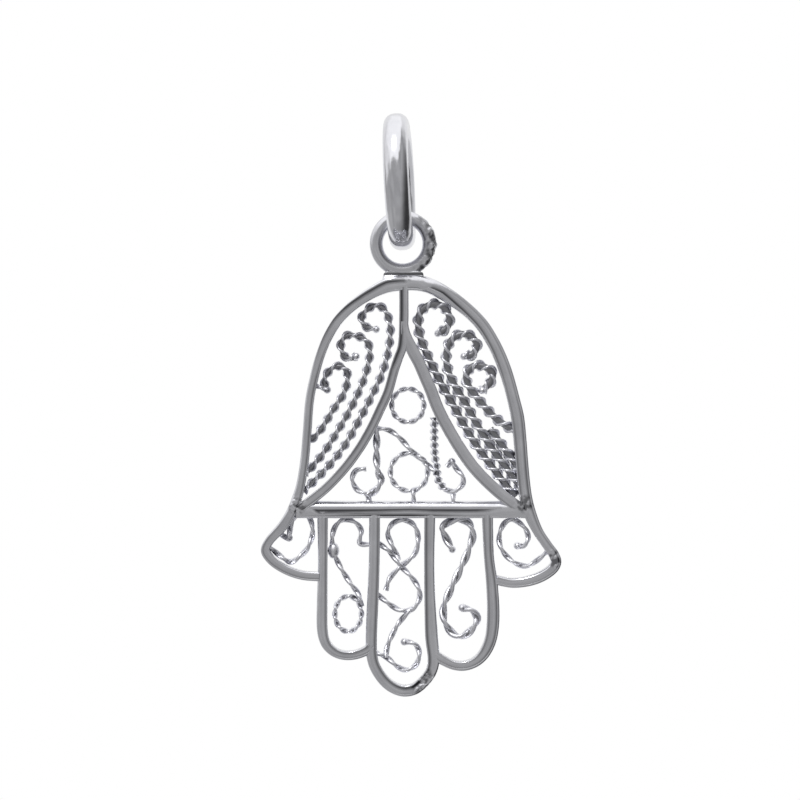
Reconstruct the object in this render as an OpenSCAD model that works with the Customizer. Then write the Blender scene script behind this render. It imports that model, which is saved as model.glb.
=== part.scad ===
// A filigree hand pendant: a ring bail, and a soldered hand of frame wire and twisted-wire scrolls.
// It hangs as worn. +Z is up, the front faces -Y, and the origin is where a chain sits in the bail.

/* [Bail] */
// Inside radius of the bail's ring
bail_r = 2.175; // [2.1:0.025:2.4]
// Width of the bail's wire, along the ring's axis
bail_w = 1.25; // [1.2:0.05:1.3]
// Thickness of the bail's wire, from inside to outside
bail_t = 1.25; // [1.2:0.05:1.3]
// Radius of the rounded corners of the bail's wire
bail_corner = 0.55; // [0.5:0.01:0.58]
// Turn of the bail about the vertical, which shows its far side on the right
bail_yaw = 3; // [0:0.5:6]
// Lean of the bail's top to the left
bail_lean = 2.8; // [0:0.2:4]

/* [Top loop] */
// Radius of the loop, to the middle of its wire
loop_r = 1.32; // [1.3:0.01:1.5]
// Diameter of the loop's wire
loop_wire = 0.66; // [0.5:0.02:0.68]
// Clear space between the loop and the bail that carries it
loop_gap = 0.05; // [0.04:0.01:0.08]

/* [Frame] */
// Depth of the frame wire, from front to back
frame_depth = 1.1; // [0.9:0.05:1.4]
// Width of the stem and the left divider
divider_left_w = 0.47; // [0.35:0.01:0.6]
// Width of the right divider, below where it grows out of the stem
divider_right_w = 0.6; // [0.4:0.01:0.7]
// Width of the palm bar's wire, up and down
bar_w = 0.85; // [0.5:0.05:0.9]
// Half the length of the palm bar
bar_half = 5.75; // [5.7:0.05:5.8]

/* [Filigree] */
// Depth of the filigree, from front to back
filigree_depth = 0.7; // [0.5:0.05:0.85]
// Width of the strands in the leaves
leaf_w = 0.42; // [0.3:0.01:0.45]
// Width of the heavier strands in the palm and the right finger
stem_w = 0.4; // [0.3:0.01:0.45]
// Width of the fine strands in the fingers, the thumbs and the palm's rings
fine_w = 0.3; // [0.22:0.01:0.35]

/* [Hidden] */

// Columns of the wire tables: distance to the right of the middle, height above the palm bar, width
X = 0;
H = 1;
W = 2;

// Middle line of the outer frame wire, from the left thumb's inner end over the crown to the right's
OUTER_FRAME = [
    [-4.25, -3.35, 0.46],
    [-5.00, -3.30, 0.45],
    [-5.65, -3.12, 0.45],
    [-6.25, -2.82, 0.45],
    [-6.70, -2.45, 0.46],
    [-6.93, -2.02, 0.46],
    [-6.70, -1.52, 0.46],
    [-6.05, -0.80, 0.52],
    [-5.62, -0.10, 0.52],
    [-5.35, 0.60, 0.50],
    [-5.15, 1.35, 0.45],
    [-4.96, 2.60, 0.44],
    [-4.84, 4.00, 0.44],
    [-4.73, 5.40, 0.44],
    [-4.52, 6.50, 0.44],
    [-4.22, 7.60, 0.45],
    [-3.86, 8.52, 0.46],
    [-3.38, 9.35, 0.48],
    [-2.82, 9.97, 0.50],
    [-2.22, 10.45, 0.53],
    [-1.55, 10.87, 0.60],
    [-0.82, 11.20, 0.72],
    [0.00, 11.34, 0.80],
    [0.75, 11.32, 0.80],
    [1.35, 11.14, 0.76],
    [1.95, 10.83, 0.74],
    [2.65, 10.36, 0.70],
    [3.34, 9.80, 0.66],
    [3.90, 9.20, 0.65],
    [4.34, 8.52, 0.64],
    [4.70, 7.82, 0.64],
    [5.00, 7.08, 0.64],
    [5.24, 6.33, 0.63],
    [5.46, 5.50, 0.63],
    [5.66, 4.60, 0.66],
    [5.78, 3.50, 0.65],
    [5.86, 2.50, 0.64],
    [5.95, 1.50, 0.64],
    [6.07, 0.60, 0.64],
    [6.30, -0.25, 0.62],
    [6.68, -1.08, 0.52],
    [7.12, -1.75, 0.50],
    [7.47, -2.25, 0.52],
    [7.58, -2.65, 0.52],
    [7.35, -3.02, 0.52],
    [6.78, -3.38, 0.52],
    [6.10, -3.60, 0.50],
    [5.35, -3.67, 0.47],
    [4.60, -3.52, 0.47],
];

// Middle line of the left finger's wire, from the palm bar to the middle finger
LEFT_FINGER = [
    [-4.08, -0.10, 0.54],
    [-4.07, -2.50, 0.48],
    [-4.10, -4.50, 0.53],
    [-4.10, -5.90, 0.54],
    [-3.95, -6.62, 0.50],
    [-3.60, -7.05, 0.46],
    [-3.10, -7.27, 0.44],
    [-2.50, -7.27, 0.44],
    [-1.90, -7.05, 0.46],
    [-1.62, -6.75, 0.46],
];

// Middle line of the middle finger's wire, down its left side and up its right
MIDDLE_FINGER = [
    [-1.48, -0.10, 0.55],
    [-1.50, -2.50, 0.55],
    [-1.57, -4.50, 0.57],
    [-1.65, -6.60, 0.57],
    [-1.58, -7.50, 0.55],
    [-1.32, -8.12, 0.55],
    [-0.90, -8.65, 0.55],
    [-0.42, -8.96, 0.55],
    [0.05, -9.06, 0.55],
    [0.55, -8.94, 0.55],
    [1.02, -8.55, 0.56],
    [1.36, -8.05, 0.56],
    [1.47, -7.40, 0.60],
    [1.36, -6.30, 0.64],
    [1.28, -4.50, 0.55],
    [1.25, -2.50, 0.52],
    [1.28, -0.10, 0.56],
];

// Middle line of the right finger's wire, from the palm bar to the middle finger
RIGHT_FINGER = [
    [4.15, -0.10, 0.56],
    [4.22, -2.20, 0.50],
    [4.38, -3.70, 0.58],
    [4.45, -5.20, 0.62],
    [4.36, -6.30, 0.60],
    [4.08, -7.05, 0.56],
    [3.65, -7.55, 0.50],
    [3.08, -7.80, 0.47],
    [2.50, -7.78, 0.46],
    [1.95, -7.54, 0.48],
    [1.55, -7.28, 0.50],
];

// Middle line of the left divider, from the top of the stem to the palm's corner
LEFT_DIVIDER = [
    [-0.02, 11.20],
    [-0.02, 9.60],
    [-0.08, 8.25],
    [-0.30, 7.55],
    [-0.50, 6.95],
    [-0.80, 5.90],
    [-1.20, 5.00],
    [-1.68, 4.00],
    [-2.27, 3.00],
    [-3.02, 2.00],
    [-3.98, 1.00],
    [-5.25, 0.02],
];

// Middle line of the right divider, from inside the stem to the palm's corner, and its share of the width
RIGHT_DIVIDER = [
    [0.00, 9.40, 0.6],
    [0.08, 8.75, 0.8],
    [0.40, 7.98, 1],
    [0.75, 7.30, 1],
    [1.05, 6.60, 1],
    [1.33, 5.95, 1],
    [1.70, 5.00, 1],
    [2.22, 4.00, 1],
    [2.82, 3.00, 1],
    [3.55, 2.00, 1],
    [4.55, 1.00, 1],
    [5.85, -0.02, 1],
];

// Leaf strands, each from the palm's corner up to its curl
LEAF_STRANDS = [
    [
        [-5.05, 0.90], [-3.85, 2.10], [-2.95, 3.25], [-2.30, 4.40], [-1.65, 5.65], [-1.10, 6.85],
        [-0.78, 8.10], [-0.70, 9.10], [-0.95, 9.93], [-1.45, 10.20], [-1.96, 9.88], [-2.13, 9.48],
        [-1.88, 9.12], [-1.40, 9.00],
    ],
    [
        [-4.95, 1.75], [-4.10, 2.75], [-3.50, 3.65], [-2.85, 4.75], [-2.30, 5.85], [-1.90, 6.90],
        [-1.72, 7.85], [-1.90, 8.42], [-2.40, 8.68], [-2.88, 8.68], [-3.16, 8.30], [-3.06, 7.78],
        [-2.75, 7.53], [-2.40, 7.65],
    ],
    [
        [-4.90, 3.45], [-4.50, 3.62], [-4.10, 4.10], [-3.45, 5.15], [-3.05, 5.75], [-2.87, 6.30],
        [-2.85, 6.80], [-3.10, 7.12], [-3.50, 7.12], [-3.85, 6.80], [-4.00, 6.40], [-3.85, 5.98],
    ],
    [
        [5.55, 0.62], [4.50, 1.98], [3.75, 2.98], [3.05, 4.10], [2.40, 5.30], [1.83, 6.32],
        [1.30, 7.40], [0.90, 8.30], [0.70, 9.20], [0.82, 9.88], [1.35, 10.25], [1.92, 10.15],
        [2.25, 9.65], [2.15, 9.10], [1.68, 8.80],
    ],
    [
        [5.80, 1.15], [4.82, 2.45], [4.22, 3.30], [3.58, 4.35], [3.00, 5.40], [2.55, 6.15],
        [2.22, 6.85], [2.10, 7.60], [2.25, 8.30], [2.70, 8.72], [3.25, 8.70], [3.62, 8.28],
        [3.45, 7.78], [2.98, 7.65],
    ],
    [
        [5.70, 3.85], [5.20, 4.12], [4.65, 4.50], [4.12, 5.02], [3.62, 5.62], [3.18, 6.25],
        [3.12, 6.80], [3.50, 7.18], [4.02, 7.12], [4.42, 6.80], [4.30, 6.35], [3.90, 5.95],
    ],
    [
        [5.85, 1.90], [5.22, 2.75], [4.74, 3.42], [4.30, 4.05],
    ],
];

// Heavier strands of the palm and the right finger
STEM_STRANDS = [
    [
        [1.50, 4.60], [1.50, 3.70], [1.52, 2.80], [1.62, 2.10], [1.72, 1.45], [2.00, 1.02],
    ],
    [
        [-1.38, 4.10], [-1.38, 3.20], [-1.38, 2.50], [-1.30, 1.85], [-1.15, 1.45], [-1.40, 1.00],
        [-1.80, 0.72],
    ],
    [
        [2.40, -2.00], [2.05, -1.35], [1.90, -0.92], [2.25, -0.62], [2.80, -0.52], [3.28, -0.72],
        [3.42, -1.35], [3.15, -2.20], [2.75, -3.10], [2.30, -4.05], [1.97, -4.90], [2.02, -5.60],
        [2.40, -6.18], [2.88, -6.35], [3.38, -6.00], [3.65, -5.48], [3.38, -5.05], [2.88, -4.92],
    ],
];

// Fine strands of the palm, then the left finger, the middle finger and the two thumbs
FINE_STRANDS = [
    [
        [-1.50, 4.08], [-0.75, 3.95], [-0.20, 3.55], [0.30, 3.00], [0.90, 2.45], [1.55, 1.90],
    ],
    [
        [-1.90, 2.02], [-2.40, 1.95], [-2.60, 1.50], [-2.35, 0.98], [-1.85, 0.72], [-1.75, 0.30],
    ],
    [
        [2.36, 2.40], [2.62, 2.02], [2.92, 1.66], [2.90, 1.22], [2.48, 0.90], [1.98, 1.02],
    ],
    [
        [2.12, 2.12], [2.38, 2.42],
    ],
    [
        [2.45, 0.95], [2.45, 0.30],
    ],
    [
        [0.45, 1.00], [0.47, 0.30],
    ],
    [
        [-1.60, -1.75], [-2.22, -1.68], [-2.15, -1.05], [-2.50, -0.62], [-3.05, -0.52],
        [-3.46, -0.88], [-3.60, -1.50], [-3.52, -2.15], [-3.18, -2.90], [-2.70, -3.68],
        [-2.28, -4.25], [-2.14, -4.85],
    ],
    [
        [-0.25, -2.55], [-0.60, -1.80], [-0.82, -1.20], [-0.55, -0.68], [0.00, -0.55],
        [0.50, -0.80], [0.70, -1.50], [0.50, -2.25], [-0.10, -2.80], [-0.68, -3.38],
        [-0.92, -4.05],
    ],
    [
        [-1.35, -1.65], [-0.75, -2.10], [-0.20, -2.80], [0.30, -3.32], [0.70, -3.90],
        [0.75, -4.50], [0.40, -4.98], [-0.15, -5.05], [-0.65, -4.80], [-1.40, -4.20],
    ],
    [
        [0.45, -4.92], [-0.15, -5.52], [-0.57, -6.20], [-0.85, -6.90], [-0.90, -7.40],
    ],
    [
        [-1.45, -7.15], [-0.85, -7.42], [-0.35, -7.85], [0.10, -8.02], [0.55, -7.80],
        [0.76, -7.28], [0.62, -6.82], [0.30, -6.64], [-0.02, -6.62],
    ],
    [
        [-5.76, -1.45], [-5.66, -0.78], [-5.35, -0.24], [-4.95, -0.20],
        [-4.64, -0.65], [-4.60, -1.30], [-4.85, -1.95], [-5.30, -2.42], [-5.72, -2.62],
        [-6.20, -2.32], [-6.70, -1.90],
    ],
    [
        [-6.25, -1.20], [-5.78, -1.48],
    ],
    [
        [5.65, -1.82], [6.00, -1.80], [6.20, -1.42], [6.02, -0.92], [5.55, -0.55],
        [5.08, -0.62], [4.80, -1.10], [4.76, -1.65], [5.02, -2.22], [5.55, -2.68],
        [6.15, -2.82], [6.70, -2.50], [7.15, -2.10],
    ],
];

// Closed rings of fine strand: middle, height, half width, half height
RING_RX = 2;
RING_RY = 3;
RINGS = [
    [0.18, 5.20, 0.80, 0.83],
    [0.24, 1.87, 0.93, 0.94],
    [-2.80, -5.22, 0.66, 0.88],
];

// The palm bar's middle lies a little to the right
bar_x = 0.35;

// Small beads at the ends of strands, and the short bar that ties the left leaf's lowest curl
BEAD_D = 0.46;
BEADS = [
    [-1.40, 9.00], [-2.40, 7.65], [-3.85, 5.98], [1.68, 8.80], [2.98, 7.65], [3.90, 5.95],
    [2.40, -2.00], [2.88, -4.92], [-3.64, -2.05], [5.65, -1.82], [0.00, -6.62], [-5.76, -1.42],
    [2.38, 2.38],
];
TIE_BAR = [[-4.50, 6.22], [-3.80, 5.98]];

// Outline of the solder that fills the corners between the loop and the crown
FOOT = [[-1.12, 11.37], [-1.03, 11.78], [-0.90, 11.92], [0.75, 11.92], [0.93, 11.84], [1.03, 11.52]];

// Steps of a curve between two rows of a table, and round a ring
FRAME_STEPS = 4;
STRAND_STEPS = 3;
RING_STEPS = 40;

// Sides of the round shapes
BEAD_SIDES = 24;
WIRE_SIDES = 48;
LOOP_SIDES = 96;
BAIL_SIDES = 128;

// Places, worked out from the sizes above
bail_centre = [bail_r * sin(bail_lean), 0, -bail_r * cos(bail_lean)];
// The bail's wire touches the loop's hole at its rounded corner, a little off its middle
loop_side = 0.06;
corner_x = bail_w / 2 - bail_corner + loop_side;
corner_h = sqrt(pow(loop_r - loop_wire / 2 - loop_gap - bail_corner, 2) - corner_x * corner_x);
loop_centre = [2 * bail_centre[0] + loop_side, 0, 2 * bail_centre[2] - bail_corner - corner_h];
// The loop's lowest point sinks a little into the crown of the frame
loop_x = -0.08;
crown_h = 11.74;
crown_sink = 0.1;
middle_x = loop_centre[0] - loop_x;
// The solder under the loop is a little thinner than the loop's wire
foot_depth = 0.9 * loop_wire;
bar_z = loop_centre[2] - loop_r - loop_wire / 2 + crown_sink - crown_h;

// A curve through the rows of a table, in so many steps between two rows
function spline(p, steps) = [
    for (i = [0 : len(p) - 2], k = [0 : steps - 1])
        let (
            a = p[max(i - 1, 0)],
            b = p[i],
            c = p[i + 1],
            d = p[min(i + 2, len(p) - 1)],
            t = k / steps
        )
        b + 0.5 * t * ((c - a) + t * ((2 * a - 5 * b + 4 * c - d) + t * (3 * b - a - 3 * c + d))),
    p[len(p) - 1],
];

// The direction of a curve at one of its points, and the point set off to its left
function heading(q, i) = let (
        v = q[min(i + 1, len(q) - 1)] - q[max(i - 1, 0)],
        s = norm([v[X], v[H]])
    ) [v[X] / s, v[H] / s];
function aside(q, i, off) = let (u = heading(q, i)) [q[i][X] - u[H] * off, q[i][H] + u[X] * off];

// A flat strip of one width along a curve
module strip(table, w, steps) {
    q = spline(table, steps);
    n = len(q);
    polygon(concat(
        [for (i = [0 : n - 1]) aside(q, i, w / 2)],
        [for (i = [n - 1 : -1 : 0]) aside(q, i, -w / 2)]
    ));
}

// A flat wire along a curve, whose width is the table's third column, as a share of w
module wire(table, w = 1) {
    q = spline(table, FRAME_STEPS);
    n = len(q);
    polygon(concat(
        [for (i = [0 : n - 1]) aside(q, i, q[i][W] * w / 2)],
        [for (i = [n - 1 : -1 : 0]) aside(q, i, -q[i][W] * w / 2)]
    ));
}

// The points of an oval, and the flat ring along it
function oval(row, off) = [
    for (k = [0 : RING_STEPS - 1])
        let (a = 360 * k / RING_STEPS)
        [row[X] + (row[RING_RX] + off) * cos(a), row[H] + (row[RING_RY] + off) * sin(a)],
];
module oval_ring(row, w) {
    difference() {
        polygon(oval(row, w / 2));
        polygon(oval(row, -w / 2));
    }
}

// Stands a flat drawing up in the plane of the hand
module upright(depth) {
    translate([middle_x, 0, bar_z])
        rotate([90, 0, 0])
            linear_extrude(height = depth, center = true)
                children();
}

module outer_frame() {
    wire(OUTER_FRAME);
}

module leaf_dividers() {
    strip(LEFT_DIVIDER, divider_left_w, FRAME_STEPS);
    wire(RIGHT_DIVIDER, divider_right_w);
}

module palm_bar() {
    translate([bar_x, 0])
        square([2 * bar_half, bar_w], center = true);
}

module fingers() {
    wire(LEFT_FINGER);
    wire(MIDDLE_FINGER);
    wire(RIGHT_FINGER);
}

module frame() {
    color("silver")
        upright(frame_depth) {
            outer_frame();
            leaf_dividers();
            palm_bar();
            fingers();
        }
}

module filigree() {
    color("gainsboro")
        upright(filigree_depth) {
            for (s = LEAF_STRANDS) strip(s, leaf_w, STRAND_STEPS);
            for (s = STEM_STRANDS) strip(s, stem_w, STRAND_STEPS);
            for (s = FINE_STRANDS) strip(s, fine_w, STRAND_STEPS);
            for (r = RINGS) oval_ring(r, fine_w);
            for (b = BEADS) translate(b) circle(d = BEAD_D, $fn = BEAD_SIDES);
            strip(TIE_BAR, leaf_w, 1);
        }
}

module top_loop() {
    color("silver")
        translate(loop_centre)
            rotate([90, 0, 0])
                rotate_extrude($fn = LOOP_SIDES)
                    translate([loop_r, 0])
                        circle(d = loop_wire, $fn = WIRE_SIDES);
}

module solder_foot() {
    color("silver")
        upright(foot_depth)
            polygon(FOOT);
}

module hand() {
    union() {
        frame();
        filigree();
        top_loop();
        solder_foot();
    }
}

// Section of the bail's wire, a square with rounded corners
module bail_section() {
    flat_w = bail_w - 2 * bail_corner;
    flat_t = bail_t - 2 * bail_corner;
    square([bail_t, flat_w], center = true);
    square([flat_t, bail_w], center = true);
    for (sx = [-1, 1], sy = [-1, 1])
        translate([sx * flat_t / 2, sy * flat_w / 2])
            circle(r = bail_corner, $fn = WIRE_SIDES);
}

module bail() {
    color("silver")
        translate(bail_centre)
            rotate([0, -bail_lean, 0])
                rotate([0, 0, -bail_yaw])
                    rotate([0, 90, 0])
                        rotate_extrude($fn = BAIL_SIDES)
                            translate([bail_r + bail_t / 2, 0])
                                bail_section();
}

bail();
hand();
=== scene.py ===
"""Looks of the filigree hand pendant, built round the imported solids.

The tables are in millimetres, and MM turns them into metres. A place in them is to the right of
the hand's middle and above the palm bar. Lines, rings and beads are where the solids have them,
but for the lump on the left finger's strand, which is 0.1 mm to the right.
"""
import math

import bpy
import numpy as np
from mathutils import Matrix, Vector, noise


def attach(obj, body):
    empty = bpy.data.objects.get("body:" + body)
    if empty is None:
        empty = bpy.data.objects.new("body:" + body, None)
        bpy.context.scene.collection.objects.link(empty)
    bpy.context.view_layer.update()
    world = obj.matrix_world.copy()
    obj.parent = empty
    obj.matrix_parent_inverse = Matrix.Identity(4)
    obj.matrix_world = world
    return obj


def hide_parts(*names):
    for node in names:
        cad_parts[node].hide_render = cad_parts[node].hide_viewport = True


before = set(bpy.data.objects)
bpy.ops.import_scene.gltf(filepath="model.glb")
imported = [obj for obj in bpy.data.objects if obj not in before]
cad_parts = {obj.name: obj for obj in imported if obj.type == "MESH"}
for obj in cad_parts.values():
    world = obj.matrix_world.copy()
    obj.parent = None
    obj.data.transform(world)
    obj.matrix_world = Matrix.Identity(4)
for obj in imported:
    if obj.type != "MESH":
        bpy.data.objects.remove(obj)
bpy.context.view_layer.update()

MM = 0.001
TAU = 2 * math.pi

# Bail: radius of the hole, width and thickness of its wire, rounding, turn and lean. Loop: radius
# of its middle line, its wire, gaps to the bail, how far right, the crown's height and how far it
# sinks into the crown. All are as in the solids.
BAIL_R, BAIL_W, BAIL_T = 2.175, 1.25, 1.25
BAIL_CORNER = 0.55
BAIL_YAW, BAIL_LEAN = math.radians(3), math.radians(2.8)
LOOP_R, LOOP_WIRE, LOOP_GAP, LOOP_SIDE = 1.32, 0.66, 0.05, 0.06
LOOP_X, CROWN_H, CROWN_SINK = -0.08, 11.74, 0.1

BAIL_CENTRE = np.array([BAIL_R * math.sin(BAIL_LEAN), 0.0, -BAIL_R * math.cos(BAIL_LEAN)])
CORNER_X = BAIL_W / 2 - BAIL_CORNER + LOOP_SIDE
CORNER_H = math.sqrt((LOOP_R - LOOP_WIRE / 2 - LOOP_GAP - BAIL_CORNER) ** 2 - CORNER_X ** 2)
LOOP_CENTRE = np.array([
    2 * BAIL_CENTRE[0] + LOOP_SIDE, 0.0, 2 * BAIL_CENTRE[2] - BAIL_CORNER - CORNER_H])
MIDDLE_X = LOOP_CENTRE[0] - LOOP_X
BAR_Z = LOOP_CENTRE[2] - LOOP_R - LOOP_WIRE / 2 + CROWN_SINK - CROWN_H

FRAME_DEPTH = 1.1
FILIGREE_DEPTH = 0.7
FINE_W = 0.3

# Middle lines of the frame's wires: to the right, above the palm bar, width
OUTER_FRAME = [
    [-4.25, -3.35, 0.46], [-5.00, -3.30, 0.45], [-5.65, -3.12, 0.45], [-6.25, -2.82, 0.45],
    [-6.70, -2.45, 0.46], [-6.93, -2.02, 0.46], [-6.70, -1.52, 0.46], [-6.05, -0.80, 0.52],
    [-5.62, -0.10, 0.52], [-5.35, 0.60, 0.50], [-5.15, 1.35, 0.45], [-4.96, 2.60, 0.44],
    [-4.84, 4.00, 0.44], [-4.73, 5.40, 0.44], [-4.52, 6.50, 0.44], [-4.22, 7.60, 0.45],
    [-3.86, 8.52, 0.46], [-3.38, 9.35, 0.48], [-2.82, 9.97, 0.50], [-2.22, 10.45, 0.53],
    [-1.55, 10.87, 0.60], [-0.82, 11.20, 0.72], [0.00, 11.34, 0.80], [0.75, 11.32, 0.80],
    [1.35, 11.14, 0.76], [1.95, 10.83, 0.74], [2.65, 10.36, 0.70], [3.34, 9.80, 0.66],
    [3.90, 9.20, 0.65], [4.34, 8.52, 0.64], [4.70, 7.82, 0.64], [5.00, 7.08, 0.64],
    [5.24, 6.33, 0.63], [5.46, 5.50, 0.63], [5.66, 4.60, 0.66], [5.78, 3.50, 0.65],
    [5.86, 2.50, 0.64], [5.95, 1.50, 0.64], [6.07, 0.60, 0.64], [6.30, -0.25, 0.62],
    [6.68, -1.08, 0.52], [7.12, -1.75, 0.50], [7.47, -2.25, 0.52], [7.58, -2.65, 0.52],
    [7.35, -3.02, 0.52], [6.78, -3.38, 0.52], [6.10, -3.60, 0.50], [5.35, -3.67, 0.47],
    [4.60, -3.52, 0.47],
]
LEFT_FINGER = [
    [-4.08, -0.10, 0.54], [-4.07, -2.50, 0.48], [-4.10, -4.50, 0.53], [-4.10, -5.90, 0.54],
    [-3.95, -6.62, 0.50], [-3.60, -7.05, 0.46], [-3.10, -7.27, 0.44], [-2.50, -7.27, 0.44],
    [-1.90, -7.05, 0.46], [-1.62, -6.75, 0.46],
]
MIDDLE_FINGER = [
    [-1.48, -0.10, 0.55], [-1.50, -2.50, 0.55], [-1.57, -4.50, 0.57], [-1.65, -6.60, 0.57],
    [-1.58, -7.50, 0.55], [-1.32, -8.12, 0.55], [-0.90, -8.65, 0.55], [-0.42, -8.96, 0.55],
    [0.05, -9.06, 0.55], [0.55, -8.94, 0.55], [1.02, -8.55, 0.56], [1.36, -8.05, 0.56],
    [1.47, -7.40, 0.60], [1.36, -6.30, 0.64], [1.28, -4.50, 0.55], [1.25, -2.50, 0.52],
    [1.28, -0.10, 0.56],
]
RIGHT_FINGER = [
    [4.15, -0.10, 0.56], [4.22, -2.20, 0.50], [4.38, -3.70, 0.58], [4.45, -5.20, 0.62],
    [4.36, -6.30, 0.60], [4.08, -7.05, 0.56], [3.65, -7.55, 0.50], [3.08, -7.80, 0.47],
    [2.50, -7.78, 0.46], [1.95, -7.54, 0.48], [1.55, -7.28, 0.50],
]
LEFT_DIVIDER = [
    [-0.02, 11.20, 0.47], [-0.02, 9.60, 0.47], [-0.08, 8.25, 0.47], [-0.30, 7.55, 0.47],
    [-0.50, 6.95, 0.47], [-0.80, 5.90, 0.47], [-1.20, 5.00, 0.47], [-1.68, 4.00, 0.47],
    [-2.27, 3.00, 0.47], [-3.02, 2.00, 0.47], [-3.98, 1.00, 0.47], [-5.25, 0.02, 0.47],
]
RIGHT_DIVIDER = [
    [0.00, 9.40, 0.36], [0.08, 8.75, 0.48], [0.40, 7.98, 0.6], [0.75, 7.30, 0.6],
    [1.05, 6.60, 0.6], [1.33, 5.95, 0.6], [1.70, 5.00, 0.6], [2.22, 4.00, 0.6],
    [2.82, 3.00, 0.6], [3.55, 2.00, 0.6], [4.55, 1.00, 0.6], [5.85, -0.02, 0.6],
]
PALM_BAR = [[-5.40, 0.0, 0.85], [0.35, 0.0, 0.85], [6.10, 0.0, 0.85]]

# Edges and grooves of those wires: number of the line's row, widths of the left edge, the right
# edge, the left groove and the right groove. Left is as the line runs: outside on the outer frame
# and the right finger, inside on the other fingers, towards the palm on the left divider, away
# from it on the right one, and up on the bar.
OUTER_EDGES = [
    (0, 0.08, 0.08, 0.06, 0.00), (6, 0.08, 0.08, 0.06, 0.00), (8, 0.14, 0.06, 0.00, 0.06),
    (11, 0.16, 0.06, 0.00, 0.08), (14, 0.12, 0.06, 0.00, 0.08), (15, 0.06, 0.06, 0.03, 0.06),
    (16, 0.02, 0.06, 0.07, 0.04), (17, 0.02, 0.06, 0.10, 0.02), (18, 0.04, 0.06, 0.12, 0.00),
    (19, 0.08, 0.06, 0.13, 0.00), (20, 0.11, 0.06, 0.15, 0.00), (21, 0.14, 0.06, 0.14, 0.00),
    (22, 0.28, 0.08, 0.10, 0.04), (22.4, 0.38, 0.08, 0.00, 0.06), (23, 0.40, 0.08, 0.00, 0.06),
    (23.4, 0.38, 0.08, 0.00, 0.00), (23.8, 0.32, 0.28, 0.00, 0.00), (24.1, 0.27, 0.26, 0.00, 0.10),
    (25, 0.18, 0.28, 0.00, 0.12), (26, 0.12, 0.16, 0.03, 0.12), (27, 0.12, 0.10, 0.04, 0.10),
    (30, 0.12, 0.08, 0.05, 0.08), (33, 0.12, 0.06, 0.05, 0.05), (35, 0.10, 0.06, 0.08, 0.07),
    (38, 0.10, 0.06, 0.09, 0.08), (40, 0.12, 0.06, 0.05, 0.00), (42, 0.10, 0.10, 0.05, 0.00),
    (45, 0.10, 0.14, 0.05, 0.00), (49, 0.12, 0.08, 0.00, 0.06),
]
LEFT_FINGER_EDGES = [
    (0, 0.05, 0.20, 0.07, 0.00), (4, 0.05, 0.16, 0.07, 0.00), (6, 0.06, 0.10, 0.08, 0.05),
    (9, 0.06, 0.10, 0.08, 0.05),
]
MIDDLE_FINGER_EDGES = [
    (0, 0.05, 0.16, 0.08, 0.00), (6, 0.05, 0.14, 0.09, 0.00), (8, 0.06, 0.10, 0.12, 0.05),
    (10, 0.05, 0.12, 0.10, 0.00), (16, 0.05, 0.12, 0.09, 0.00),
]
RIGHT_FINGER_EDGES = [
    (0, 0.10, 0.05, 0.08, 0.06), (5, 0.10, 0.06, 0.08, 0.06), (7, 0.12, 0.08, 0.05, 0.03),
    (10, 0.12, 0.08, 0.05, 0.03),
]
LEFT_DIVIDER_EDGES = [
    (0, 0.08, 0.04, 0.00, 0.14), (3, 0.08, 0.04, 0.00, 0.14), (4, 0.06, 0.04, 0.06, 0.10),
    (8, 0.06, 0.04, 0.07, 0.09), (11, 0.06, 0.06, 0.06, 0.04),
]
RIGHT_DIVIDER_EDGES = [
    (0, 0.08, 0.06, 0.00, 0.00), (3, 0.08, 0.05, 0.00, 0.06), (11, 0.08, 0.06, 0.00, 0.06),
]
PALM_BAR_EDGES = [
    (0, 0.40, 0.06, 0.00, 0.00), (0.13, 0.42, 0.06, 0.00, 0.05), (0.2, 0.42, 0.06, 0.20, 0.05),
    (0.75, 0.38, 0.06, 0.12, 0.12), (1, 0.36, 0.06, 0.11, 0.12), (1.5, 0.42, 0.06, 0.14, 0.05),
    (1.65, 0.42, 0.06, 0.10, 0.05), (1.78, 0.40, 0.06, 0.00, 0.00), (2, 0.40, 0.06, 0.00, 0.00),
]

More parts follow.
